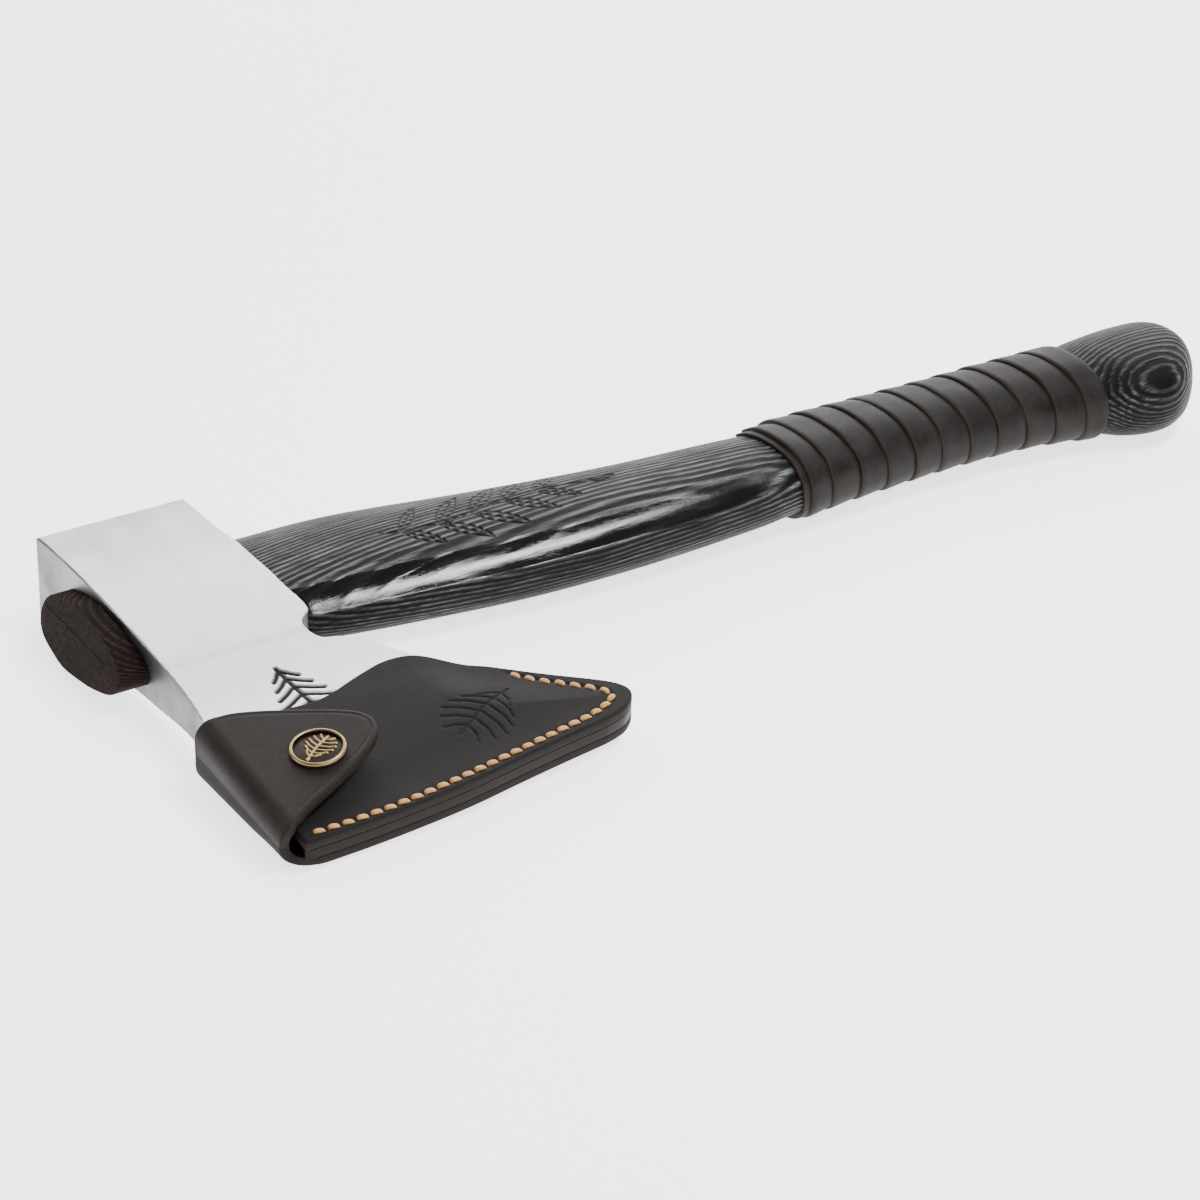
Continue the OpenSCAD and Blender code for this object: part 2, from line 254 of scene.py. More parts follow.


# %% [markdown]
# ## Steel
# The cheeks are ground bright, with painted shade that darkens them towards the poll and lightens
# them towards the cutting edge. The narrow sides are painted darker, partly because they are duller
# and partly as painted shade, for the shaded ground they reflect. The stamped strokes are filled with
# black, so there the metal turns into a dark, flat paint. A fine noise stretched along the haft gives
# the grinding marks.

# %% Steel
def steel_material():
    m, t, s = new_material("steel", (0.62, 0.63, 0.64), 0.42, 1.0)
    p = coords(t)
    cloud = noise(t, 0.09, p, 4.0)
    fine = noise(t, 1.4, coords(t, (0.25, 1.6, 1)), 4.0, 0.65)
    etched = mask(t, "etched")
    reach = node(t, "SeparateXYZ", Vector=coords(t)).outputs["Y"]
    # Painted shade: the cheeks' colour darkens towards the poll and lightens towards the cutting edge.
    poll_shade = node(t, "MapRange", Value=reach, From_Min=-4.0, From_Max=34.0).outputs[0]
    tone = calc(t, "ADD", calc(t, "MULTIPLY", cloud, 0.55), calc(t, "MULTIPLY", poll_shade, 0.5))
    base = ramp(t, tone, [(0.2, (0.36, 0.37, 0.38)), (0.75, (0.66, 0.67, 0.68))])
    # The narrow sides are painted darker: partly their duller finish, partly painted shade for the shaded
    # ground they reflect.
    sides = ramp(t, noise(t, 0.05, p, 3.0), [(0.35, (0.10, 0.10, 0.105)), (0.65, (0.26, 0.262, 0.27))])
    base = mix(t, mask(t, "side"), base, sides)
    use(t, s, "Base Color", mix(t, etched, base, (0.004, 0.004, 0.004)))
    use(t, s, "Metallic", calc(t, "SUBTRACT", 1.0, etched))
    use(t, s, "Specular IOR Level", calc(t, "MULTIPLY_ADD", etched, -0.45, 0.5))
    use(t, s, "Roughness", calc(t, "MULTIPLY_ADD", fine, 0.16, 0.34))
    bump(t, s, fine, 0.03, 0.5)
    return m


steel = steel_material()


# %% [markdown]
# ## Wood
# Ash has hard and soft rings. On the real haft the soft ones are brushed out, so thin ridges stand
# between black hollows. The ridges' light grey is partly the paler hard wood and partly a painted
# reflection of the bright surroundings, dimmed on the underside as painted shade. Here the rings are
# planes bent by noise, seen where they meet the surface. The facet is varnished smooth, so its grain is
# nearly hidden under the gloss.

# %% Black ash and brown end wood
def wood_material(name, dark, light, ring, across, rough, relief, bend=4.0, burn=None):
    """Ring planes seen where they meet the surface: soft wood is brushed away between them."""
    m, t, s = new_material(name, dark, rough)
    p = coords(t)
    warp = noise(t, 0.018, coords(t, (0.4, 1, 1)), 2.0, 0.4)
    wide = noise(t, 0.2, coords(t, (0.14, 1, 1)), 2.0, 0.5)
    depth = node(t, "VectorMath", _operation="DOT_PRODUCT", i0=p, i1=across).outputs["Value"]
    depth = calc(t, "ADD", depth, calc(t, "MULTIPLY", warp, bend * 2))
    depth = calc(t, "ADD", depth, calc(t, "MULTIPLY", wide, bend * 0.35))
    turn = calc(t, "SINE", calc(t, "MULTIPLY", depth, 2 * math.pi / ring))
    ridge = calc(t, "POWER", calc(t, "MULTIPLY_ADD", turn, 0.5, 0.5), 2.2)
    pores = noise(t, 1.1, coords(t, (0.09, 2.4, 2.4)), 4.0, 0.75)
    patch = noise(t, 0.07, coords(t, (0.5, 1, 1)), 4.0, 0.6)
    streak = noise(t, 0.9, coords(t, (0.06, 1, 1)), 2.0, 0.5)
    shine = mask(t, "varnish")
    bare = calc(t, "SUBTRACT", 1.0, calc(t, "MULTIPLY", shine, 0.93))
    lit = calc(t, "SMOOTH_MIN", calc(t, "MULTIPLY_ADD", pores, 5.0, -1.75), 1.0, 0.2)
    lit = calc(t, "MULTIPLY", ridge, lit)
    lit = calc(t, "MULTIPLY", lit, calc(t, "MULTIPLY_ADD", streak, 3.4, -0.95))
    # Painted shade: the ridges are dimmed on the haft's underside. On the knob they are painted darker too.
    lit = calc(t, "MULTIPLY", lit, calc(t, "SUBTRACT", 1.0, mask(t, "dull")))
    lit = calc(t, "MULTIPLY", lit, calc(t, "MULTIPLY_ADD", patch, 2.6, -0.35))
    lit = node(t, "Clamp", Value=lit).outputs[0]
    # The ridges' light colour is partly the paler hard wood and partly a painted reflection of the bright
    # surroundings.
    color = mix(t, calc(t, "MULTIPLY", lit, bare), dark, light)
    if burn:
        color = mix(t, mask(t, "burned"), color, burn)
    height = calc(t, "ADD", ridge, calc(t, "MULTIPLY", pores, 0.5))
    height = calc(t, "MULTIPLY", height, calc(t, "MULTIPLY_ADD", bare, 0.85, 0.15))
    use(t, s, "Base Color", color)
    uneven = calc(t, "MULTIPLY_ADD", pores, 0.2, rough - 0.08)
    use(t, s, "Roughness", calc(t, "MULTIPLY", uneven, calc(t, "MULTIPLY_ADD", bare, 0.88, 0.12)))
    use(t, s, "Specular IOR Level", calc(t, "MULTIPLY_ADD", shine, 0.5, 0.07))
    bump(t, s, height, relief)
    return m


black_ash = wood_material("black_ash", (0.0032, 0.0032, 0.0034), (0.185, 0.19, 0.198), 1.22,
                          (0.0, 0.62, 0.78), 0.42, 0.30, burn=(0.022, 0.0145, 0.0105))
brown_wood = wood_material("brown_wood", (0.0095, 0.0060, 0.0052), (0.050, 0.031, 0.025), 0.8,
                           (0.25, 0.1, 0.96), 0.75, 0.15, 1.0)


# %% [markdown]
# ## Leather
# Four leathers: the sheath's panels, the strap, the burnished cut edges and the grip. They differ in
# colour and gloss only. Cut and rubbed edges carry a mark that mixes in a browner colour, and small
# cells with noise make the grain.

# %% Leather
def leather_material(name, color, worn, rough, grain=0.06, blotch=0.35):
    m, t, s = new_material(name, color, rough)
    p = coords(t)
    cloud = noise(t, 0.12, p, 4.0, 0.6)
    fine = noise(t, 2.2, p, 4.0, 0.7)
    pores = node(t, "TexVoronoi", Vector=p, Scale=1.5, _feature="SMOOTH_F1").outputs["Distance"]
    darker = tuple(c * (1 - blotch) for c in color)
    lighter = tuple(c * (1 + blotch) for c in color)
    base = ramp(t, cloud, [(0.3, darker), (0.7, lighter)])
    rubbed = calc(t, "MULTIPLY", mask(t, "worn"), calc(t, "MULTIPLY_ADD", fine, 1.2, 0.2))
    use(t, s, "Base Color", mix(t, rubbed, base, worn))
    use(t, s, "Roughness", calc(t, "MULTIPLY_ADD", cloud, 0.3, rough - 0.15))
    s.inputs["Specular IOR Level"].default_value = 0.12
    bump(t, s, calc(t, "ADD", calc(t, "MULTIPLY", pores, 0.6), fine), grain)
    return m


sheath_leather = leather_material(
    "sheath_leather", (0.0115, 0.0098, 0.0096), (0.022, 0.016, 0.012), 0.70)
strap_leather = leather_material(
    "strap_leather", (0.0160, 0.0118, 0.0105), (0.026, 0.017, 0.013), 0.55)
edge_leather = leather_material(
    "edge_leather", (0.0070, 0.0045, 0.0036), (0.014, 0.008, 0.006), 0.45, 0.04)
grip_leather = leather_material(
    "grip_leather", (0.0125, 0.0104, 0.0100), (0.026, 0.0175, 0.0130), 0.55, 0.06, 0.55)


# %% [markdown]
# ## Thread and brass
# The thread is orange-tan and mottled by its twist. The snap is brass with a dark patina that stays
# in the recesses, while the raised rim and the relief are rubbed bright.

# %% Thread and brass
def thread_material():
    m, t, s = new_material("thread", (0.74, 0.44, 0.19), 0.62)
    twist = noise(t, 3.2, coords(t), 3.0)
    use(t, s, "Base Color", ramp(t, twist, [(0.35, (0.55, 0.24, 0.055)), (0.62, (0.90, 0.50, 0.17))]))
    bump(t, s, twist, 0.12)
    return m


def brass_material():
    bright, patina = (0.52, 0.38, 0.17), (0.035, 0.026, 0.02)
    m, t, s = new_material("brass", bright, 0.32, 1.0)
    fine = noise(t, 1.8, coords(t), 4.0, 0.6)
    dark = calc(t, "MULTIPLY_ADD", mask(t, "patina"), 0.95, calc(t, "MULTIPLY", fine, 0.25))
    use(t, s, "Base Color", mix(t, dark, bright, patina))
    use(t, s, "Roughness", calc(t, "MULTIPLY_ADD", fine, 0.25, 0.22))
    bump(t, s, fine, 0.03)
    return m


thread, brass = thread_material(), brass_material()
spring_steel, _, _ = new_material("spring_steel", (0.6, 0.6, 0.58), 0.3, 1.0)
print("materials:", [m.name for m in bpy.data.materials])

# %% [markdown]
# ## Ornaments
# The real hatchet carries pressed and burned marks. Here they are plain leafy twigs and a small
# fir tree, drawn as strokes. A point's mark value says how deep inside a stroke it lies.

# %% Twigs and firs as strokes
def placed(points, at, turn, size):
    a = math.radians(turn)
    p = np.asarray(points, float) * size
    return np.stack([at[0] + p[:, 0] * math.cos(a) - p[:, 1] * math.sin(a),
                     at[1] + p[:, 0] * math.sin(a) + p[:, 1] * math.cos(a)], 1)


def leaf(root, angle, length, wide):
    """Outline of one pointed leaf and its middle vein, as lines."""
    t = np.linspace(0, 1, 9)
    up = np.stack([t, wide * np.sin(math.pi * t) * (1 - 0.35 * t)], 1)
    a = math.radians(angle)
    spin = np.array([[math.cos(a), math.sin(a)], [-math.sin(a), math.cos(a)]]) * length
    vein = np.array([[0, 0], [0.7, 0]])
    return [(up @ spin) + root, (up * [1, -1] @ spin) + root, vein @ spin + root]


def leafy_branch():
    """A branch one unit long with leaves on both sides."""
    t = np.linspace(0, 1, 25)
    stem = np.stack([t, 0.035 * np.sin(2 * math.pi * t)], 1)
    lines = [stem]
    for k in range(5):
        at = stem[2 + 4 * k]
        size = 0.22 + 0.06 * math.sin(math.pi * k / 4)
        for side in (1, -1):
            lines += leaf(at, side * (48 - 3 * k), size, 0.15)
    return lines + leaf(stem[-1], 0, 0.14, 0.2)


def fir_tree():
    """A stem with sloping branches, one unit high, and a line of ground."""
    lines = [np.array([[0, 0], [1, 0]])]
    for k in range(5):
        x, reach = 0.16 + 0.17 * k, 0.42 - 0.065 * k
        for side in (1, -1):
            lines.append(np.array([[x + 0.11, 0], [x, side * reach * 0.55], [x - 0.07, side * reach]]))
    lines += [np.array([[-0.07, y], [-0.09, y + 0.16]]) for y in (-0.5, -0.25, 0.02, 0.28)]
    return lines


def fern():
    """A stem with plain side strokes, one unit long."""
    lines = [np.array([[0, 0], [0.5, 0.03], [1, 0]])]
    for k in range(6):
        x = 0.12 + 0.14 * k
        for side in (1, -1):
            w = 0.38 * math.sin(math.pi * (k + 1.2) / 7.5)
            lines.append(np.array([[x, 0.02], [x + 0.07, side * w * 0.6], [x + 0.17, side * w]]))
    return lines


def stroke_depth(points, lines, at, turn, size, half, soft):
    """1 inside a stroke and 0 outside, with a soft border."""
    p = np.asarray(points, float).reshape(-1, 2)
    out = np.zeros(len(p))
    near = np.linalg.norm(p - placed([[0.5, 0]], at, turn, size)[0], axis=1) < size * 0.85
    d = np.full(near.sum(), 1e9)
    for line in lines:
        d = np.minimum(d, near_line(p[near], placed(line, at, turn, size)))
    out[near] = smoothstep((half + soft - d) / (2 * soft))
    return out


# %% [markdown]
# ## Outlines shared by the head and the sheath
# The two leather panels lie against the blade and come together along the stitched edge, where a
# spacer strip keeps the cutting edge off the thread.

# %% Outlines of the blade and the sheath
TOE = curve([[1.5, POLL_REACH], [2.5, 5.3], [3.8, 24], [4.5, 50], [4.5, 70.8], [3.7, 87.6],
             [1.2, 102.4], [0.4, 120], [0.6, 146]])
CUT = curve([[0.6, 146], [18, 146.2], [40, 144.4], [66, 140.6], [86, 136.6], [95.5, 133.6]])
BEARD = curve([[95.5, 133.6], [89.5, 125], [82, 114.5], [74.5, 103], [67.8, 92], [62.5, 83.7],
               [59, 78.2], [54.5, 76.2], [49.7, 74], [48, 70], [48.6, 65.2], [52.6, 61.4],
               [53.2, 56]], 10)
HAFT_SIDE = curve([[53.2, 56], [52.9, 50.5], [52.3, 40.1], [51.2, 24.5], [49.1, 10.3],
                   [48, POLL_REACH]])
THROAT = curve([[1.5, 101.5], [12, 101.8], [22, 102.6], [30, 103.3], [36.5, 102.1], [48.2, 97.8],
                [57, 95.5], [65, 96.4], [72.1, 99.6], [82.3, 106.8]], 12)
RIM_LINE = np.concatenate([
    curve([[82.3, 106.8], [93.5, 117.5], [105.5, 128], [109.6, 133.5], [109.2, 138.2],
           [104, 143.1], [97, 145.5]], 24)[:-1],
    curve([[97, 145.5], [80, 148], [66, 150.3], [52.3, 152.7], [39.3, 154.3], [20, 155.8],
           [3, 156.2], [-0.8, 155.6]], 12)])
SEAM = curve([[2.5, 153.1], [16, 153.3], [31, 152.4], [48, 150.2], [66.5, 147], [86, 143.4],
              [94.5, 141.6], [101.2, 138.8], [104, 135.6], [101.5, 131], [95, 124.4],
              [90, 119.4], [85.2, 113.4]], 10)
tip = int(np.argmax(RIM_LINE[:, 0]))
UPPER = np.concatenate([THROAT[:-1], RIM_LINE[:tip + 1]])
LOWER = RIM_LINE[tip:][::-1]


SEAM_GAP, PANEL_SLOPE, RIM_REACH = 1.45, 0.066, 156


def gap_z(reach):
    """Half the distance between two flat panels that spread from the stitched edge."""
    return SEAM_GAP + (RIM_REACH - reach) * PANEL_SLOPE


def pinched_gap(x, reach):
    """The same for the real panels: the spacer's thickness at the seam, more inside."""
    x, reach = np.broadcast_arrays(np.asarray(x, float), np.asarray(reach, float))
    d = near_line(np.stack([x.ravel(), reach.ravel()], 1), RIM_LINE[::4]).reshape(x.shape)
    full = gap_z(reach)
    return SEAM_GAP + (full - SEAM_GAP) * (0.12 + 0.88 * smoothstep((d - 3.5) / 19))


def wall_x(reach):
    """Outer face of the strap's wall, which stands past the blade's toe."""
    return -3.9 - (reach - 104) * 0.045


print("sheath from x", round(UPPER[0, 0], 1), "to", round(UPPER[-1, 0], 1), "mm")

# %% [markdown]
# ## Head
# The head is one forging, ground on both cheeks and thinned towards a bearded edge. It could be
# made from a block with cuts, but its cheeks need fine stamped strokes. So it is a grid of points
# over each cheek, with narrow ground chamfers wherever a cheek meets a side.

# %% Head
def spaced(parts):
    """Positions with a different spacing in each stretch: [(from, to, step), ...]."""
    out = [parts[0][0]]
    for a, b, step in parts:
        n = max(1, round((b - a) / step))
        out += list(a + (b - a) * np.arange(1, n + 1) / n)
    return np.array(out)


def head_grid():
    """Points [x, reach] over a cheek: dense along its border and round the stamped fir."""
    deep = 149.5    # from the poll to the blade's toe
    rows = spaced([(0, 0.9, 0.15), (0.9, 8, 1.2), (8, 58, 1.6), (58, 116, 0.36), (116, deep, 1.5)]) / deep
    near = np.array([0, 0.12, 0.3, 0.5, 0.75, 1.1])
    inner = spaced([(0, 0.2, 0.03), (0.2, 0.62, 0.0058), (0.62, 1, 0.02)])
    side = np.concatenate([HAFT_SIDE[::-1], BEARD[::-1][1:]])
    cut_x = np.linspace(0.6, 95.5, 300)
    cut_r = np.interp(cut_x, CUT[:, 0], CUT[:, 1])
    x0 = lambda r: np.interp(r, TOE[:, 1], TOE[:, 0])
    x1 = lambda r: np.where(r > 133.6, 95.5 + (r - 133.6) * 0.7, np.interp(r, side[:, 1], side[:, 0]))
    columns = []
    places = [("toe", d) for d in near] + [("middle", s) for s in inner[1:-1]]
    places += [("beard", d) for d in near[::-1]]
    for kind, value in places:
        def at(r):
            a, b = x0(r), x1(r)
            if kind == "toe":
                return a + value
            if kind == "beard":
                return b - value
            return a + near[-1] + value * (b - a - 2 * near[-1])
        end = 140.0
        for _ in range(12):    # finds where this column meets the cutting edge
            end = float(np.interp(at(np.array(end)), cut_x, cut_r))
        r = POLL_REACH + rows * (end - POLL_REACH)
        columns.append(np.stack([at(r), r], 1))
    return np.array(columns)


def cheek_height(x, r):
    """Half the head's thickness: a slow wedge, cut by the bevel along the edge."""
    cheek = [[POLL_REACH, 13.4], [1, 13.35], [59, 8.45], [72, 7.1], [87.6, 5.6], [102, 4.7], [148, 1.75]]
    smooth = curve(cheek, 10)
    h = np.interp(r, smooth[:, 0], smooth[:, 1])
    toe, heel = CUT[0], CUT[-1]
    chord = heel - toe
    across = ((x - toe[0]) * chord[1] - (r - toe[1]) * chord[0]) / np.linalg.norm(chord)
    bevel_slope = 0.2586    # the tangent of 14.5 degrees
    bevel = 0.2 + bevel_slope * (across + 0.9)
    h = -np.log(np.exp(-h * 6) + np.exp(-np.clip(bevel, 0.15, 40) * 6)) / 6
    return np.where(r > 98, np.minimum(h, np.maximum(pinched_gap(x, r) - 0.3, 0.15)), h)


def two_sided(top, bottom):
    """Joins two grids of the same shape along their borders into one closed skin."""
    nu, nv = top.shape[:2]
    n = nu * nv
    faces = [grid_faces(nu, nv), grid_faces(nu, nv, start=n, flip=True)]
    border = ([i * nv for i in range(nu)] + [(nu - 1) * nv + j for j in range(1, nv)]
              + [i * nv + nv - 1 for i in range(nu - 2, -1, -1)] + [j for j in range(nv - 2, 0, -1)])
    a, b = np.array(border), np.roll(border, -1)
    faces.append(np.stack([a, b, b + n, a + n], 1)[:, ::-1])
    return np.concatenate([top.reshape(-1, 3), bottom.reshape(-1, 3)]), np.concatenate(faces)


grid = head_grid()
x, r = grid[..., 0], grid[..., 1]
flat_points = grid.reshape(-1, 2)
outline = np.concatenate([TOE, CUT[1:], BEARD[1:], HAFT_SIDE[1:], TOE[:1]])
d = near_line(flat_points, outline).reshape(x.shape)
h = cheek_height(x, r)
wander = 0.42 + 0.10 * np.sin(x * 0.7 + r * 0.31) + 0.06 * np.sin(r * 1.7 + 1)
h = h - np.maximum(0, np.minimum(wander, h * 0.7) - d)
stamp = stroke_depth(flat_points, fir_tree(), (32.5, 105.5), -93, 24, 0.72, 0.22).reshape(x.shape)
top = np.stack([x, r, h - 0.45 * stamp], -1)
bottom = np.stack([x, r, -h], -1)
points, faces = two_sided(top, bottom)
etched = np.concatenate([stamp.ravel(), np.zeros(stamp.size)])
# Points on the narrow sides, which the steel paints darker: partly a duller finish, partly painted shade.
side = np.tile((d < 1e-3).ravel(), 2)
head = make("hatchet_head", points, faces, steel, "axe", 24, {"etched": etched, "side": side})
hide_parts("axe_head")

# %% [markdown]
# ## Haft
# The haft is ash, shaped by hand, stained black and brushed so that the hard rings stand up. Its
# front has a planed facet that ends in a crisp ridge, and its end swells into a knob. It is a row
# of closed sections. The branch burned into its side is drawn on the points.

# %% Haft
# Each station holds x, the back's reach, the front's reach and half the thickness.
STATIONS = [[50, 9.6, 58.4, 9.4], [58, 9.8, 60.4, 10.1], [85, 12, 64.3, 11.4], [125, 21, 68.4, 12.2],
            [165, 28.1, 69, 12.2], [203, 31.6, 67.2, 11.7], [217.3, 32.2, 66, 11], [250, 31.6, 63.8, 10],
            [290, 33, 62.8, 10], [328, 34, 66.8, 11], [345, 33.2, 75, 13.6], [356, 32.6, 77, 14.4],
            [364, 32.9, 74.5, 14.3], [370, 34, 70, 13.9], [374.4, 37, 65.3, 12.8], [376.8, 41, 61.6, 11.0],
            [378, 45, 58.5, 8.6], [378.4, 48.5, 56, 5.4]]
HAFT = curve(STATIONS, 12)
RIDGE, FACET = 15.2, 39.8    # degrees: where the ridge under the facet lies, and how wide the facet is


def section(x, a, off=0.0):
    """Points of the haft's section at x, at angles a in degrees, stood off by off."""
    x, a, off = np.broadcast_arrays(np.asarray(x, float), np.asarray(a, float), np.asarray(off, float))
    back, front, half = (np.interp(x, HAFT[:, 0], HAFT[:, k]) for k in (1, 2, 3))
    c, s = np.cos(np.radians(a)), np.sin(np.radians(a))
    cy, cz = np.sign(c) * np.abs(c) ** 0.86, np.sign(s) * np.abs(s) ** 0.86
    turn = (a + 180) % 360 - 180
    t = (turn - RIDGE) / FACET
    crown = np.sin(math.pi * t)
    facet = np.stack([0.97 - 0.35 * t + 0.03 * crown, 0.40 + 0.46 * t + 0.026 * crown])
    low = np.clip(turn / RIDGE, 0, 1)
    under = np.stack([1 - 0.03 * low ** 2, 0.40 * low])
    strength = smoothstep((218 - x) / 22)
    for zone, shape in (((t >= 0) & (t <= 1), facet), ((turn > 0) & (t < 0), under)):
        k = np.where(zone, strength, 0)
        cy, cz = cy + (shape[0] - cy) * k, cz + (shape[1] - cz) * k
    return np.stack([x, (back + front) / 2 + ((front - back) / 2 + off) * cy, (half + off) * cz], -1)


xs = spaced([(50, 86, 1.0), (86, 166, 0.38), (166, 216, 1.0), (216, 333, 3.0), (333, 360, 0.8),
             (360, 374, 0.4), (374, 378.4, 0.2)])
angles = spaced([(-140, -20, 5), (-20, 14, 2), (14, 15.2, 0.6), (15.2, 16.4, 0.6), (16.4, 55, 1.6),
                 (55, 150, 0.95), (150, 219, 5)])[:-1]
ring = section(xs[:, None], angles[None, :])
flat_points = ring[..., :2].reshape(-1, 2)
facing = np.tile(np.sin(np.radians(angles)) > 0.3, len(xs))
burned = stroke_depth(flat_points, leafy_branch(), (88, 40), 3, 68, 0.30, 0.2) * facing
ring = ring.reshape(-1, 3)
ring[:, 2] -= 0.3 * burned
n = len(angles)
faces = grid_faces(len(xs), n, close_v=True)
zone = smoothstep((angles - 13) / 4) * smoothstep((62 - angles) / 12)
varnish = (smoothstep((216 - xs) / 20)[:, None] * zone[None, :]).ravel()
# Painted shade: the light ridges are dimmed where the haft faces the ground. Past x 333, on the knob, they
# are painted darker too.
under = smoothstep((angles + 110) / 20) * smoothstep((16 - angles) / 3)
dull = (0.62 * smoothstep((216 - xs) / 8)[:, None] * under[None, :] + 0.62 * (xs > 333)[:, None]).ravel()
haft = make("haft_wood", ring, faces, black_ash, "axe", 30,
            {"burned": burned, "varnish": varnish, "dull": dull}, end_caps(len(xs), n))
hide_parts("haft")

# %% [markdown]
# ## Tenon and wedge
# The haft's tenon goes through the eye and was sawn off at a slant, proud of the head. A wooden
# wedge driven into its kerf spreads it. They are separate pieces because their end grain is bare
# and brown, unlike the stained haft.

# %% Tenon and wedge
def eye_outline(n=96):
    """Section [reach, z] of the tenon: an oval round four circles, smoothed."""
    pts = []
    for reach, rad in ((17.5, 6.4), (30, 9.0), (44, 7.4), (55.5, 4.6)):
        a = np.linspace(0, 2 * math.pi, 181)
        pts.append(np.stack([reach + rad * np.cos(a), rad * np.sin(a)], 1))
    pts = np.concatenate(pts)
    a = np.linspace(0, 2 * math.pi, n, endpoint=False)
    best = []
    for d in np.stack([np.cos(a), np.sin(a)], 1):
        best.append(pts[np.argmax(pts @ d)])
    even = resample(np.array(best + best[:1]), n + 1)[:-1]
    for _ in range(14):
        even = (np.roll(even, 1, 0) + 2 * even + np.roll(even, -1, 0)) / 4
    return even.mean(0) + (even - even.mean(0)) * 1.02


def slanted_block(name, line, end_x, deep, chamfer):
    """A bar with the given [reach, z] section whose end is cut at a slant and lightly rounded."""
    centre = line.mean(0)
    rows = []
    steps = ((1, deep), (1, chamfer), (0.995, chamfer * 0.4), (0.975, 0), (0.6, 0), (0.2, 0))
    for k, (shrink, back) in enumerate(steps):
        p = centre + (line - centre) * shrink
        xs = np.full(len(p), deep) if k == 0 else end_x(p[:, 1]) + back
        rows.append(np.stack([xs, p[:, 0], p[:, 1]], 1))
    n = len(line)
    faces = grid_faces(len(rows), n, close_v=True, flip=True)
    caps = [c[::-1] for c in end_caps(len(rows), n)]
    obj = make(name, np.concatenate(rows), faces, brown_wood, "axe", 30, None, caps)
    return obj


def slant(z):
    """x of the sawn end at height z."""
    return -4.8 + 0.325 * z


slanted_block("haft_tenon", eye_outline(), slant, 20.0, 0.5)
corners = np.array([[13.6, -1.95], [49.4, -1.6], [49.4, 1.6], [13.6, 1.95]])
wedge_line = np.concatenate([np.linspace(a, b, 12, endpoint=False)
                             for a, b in zip(corners, np.roll(corners, -1, 0))])
wedge = slanted_block("kerf_wedge_end", wedge_line, lambda z: slant(z) - 0.12, 6.0, 0.15)
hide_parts("kerf_wedge")

# %% [markdown]
# ## Leather grip
# One long strip of leather is wound round the haft. Every turn lies on the low far side of its
# neighbour nearer the head, and shows a raised raw edge that faces the head. A texture could not
# give that stepped outline, so the strip is a real spiral of one cross-section. Its first
# turn has a thin lower layer in front, where the strip's start is tucked in.

# %% Leather grip
PITCH_MM, GRIP0, GRIP1 = 10.85, 214.3, 335.0    # one turn's advance, and where the grip starts and ends
START_TURN = 0.62
turns = spaced([(START_TURN, (GRIP1 - GRIP0) / PITCH_MM + 0.40, 1 / 80)])
# Cross-sections [distance along the haft, height over the wood]: a usual turn, and the first one.
profile = np.array([[0.25, -0.3], [0.1, 0.5], [0.0, 1.2], [0.03, 1.65], [0.14, 2.0], [0.36, 2.24],
                    [0.7, 2.38], [1.15, 2.44], [1.8, 2.43], [2.7, 2.36], [3.9, 2.3], [5.2, 2.24],
                    [6.8, 2.16], [8.4, 2.06], [9.8, 1.92], [10.9, 1.66], [11.5, 1.3], [11.7, 0.7],
                    [11.6, -0.3]])
first = np.array([[0.2, -0.3], [0.1, 0.3], [0.0, 0.6], [0.03, 0.84], [0.14, 1.02], [0.36, 1.14],
                  [0.8, 1.2], [1.8, 1.2], [2.5, 1.18], [2.62, 1.7], [2.75, 2.1], [3.1, 2.32],
                  [4.2, 2.34], [7.4, 2.12], [9.8, 1.92], [10.9, 1.66], [11.5, 1.3], [11.7, 0.7],
                  [11.6, -0.3]])
rows, raw = [], []
for t in turns:
    left = max(GRIP0, GRIP0 - 0.55 * PITCH_MM + PITCH_MM * t)
    right = min(GRIP1, GRIP0 + 0.45 * PITCH_MM + PITCH_MM * t + 0.7)
    wave = 0.22 * math.sin(t * 9.1) + 0.16 * math.sin(t * 23.7 + 1) + 0.07 * math.sin(t * 61)
    early = 1 - float(smoothstep((t - 1.02) / 0.25))
    shape = profile + (first - profile) * early
    u = shape[:, 0] * (right - left) / profile[-2, 0]
    lip = np.exp(-profile[:, 0] / 1.5)
    u = np.where(shape[:, 0] < 1.2, shape[:, 0] * min(1, (right - left) / 3), u)
    at_an_end = left <= GRIP0 or right >= GRIP1
    px = np.clip(left + u + wave * lip * (0 if at_an_end else 1), GRIP0, GRIP1 + 0.1)
    uneven = 1 + 0.05 * math.sin(t * 5.3) + 0.03 * math.sin(t * 17)
    high = shape[:, 1] * uneven * min(1, 0.45 + (right - left) / 9)
    high = high * (0.7 + 0.3 * float(smoothstep((t - START_TURN) / 0.08)))
    rows.append(section(px, -360 * t, high))
    edge = np.where(profile[:, 0] < 0.3, 1.0, np.exp(-(profile[:, 0] - 0.3) / 0.5))
    second_edge = early * np.exp(-np.abs(shape[:, 0] - 2.7) / 0.2)
    raw.append(edge * (profile[:, 1] > 0.3) + second_edge)
n = len(profile)
faces = grid_faces(len(rows), n, flip=True)
caps = [c[::-1] for c in end_caps(len(rows), n)]
grip = make("grip_strip", np.concatenate(rows), faces, grip_leather, "axe", 50,
            {"worn": np.concatenate(raw)}, caps)
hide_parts("grip_wrap")

# %% [markdown]
# ## Sheath
# Two panels of thick leather with a spacer strip between them, stitched along the edge and up
# the beard. They are built as sheets: a grid of points for each face, brought together at the
# border so that the cut edge is rounded. The front panel has a pressed fern and a groove in
# which the stitches lie.

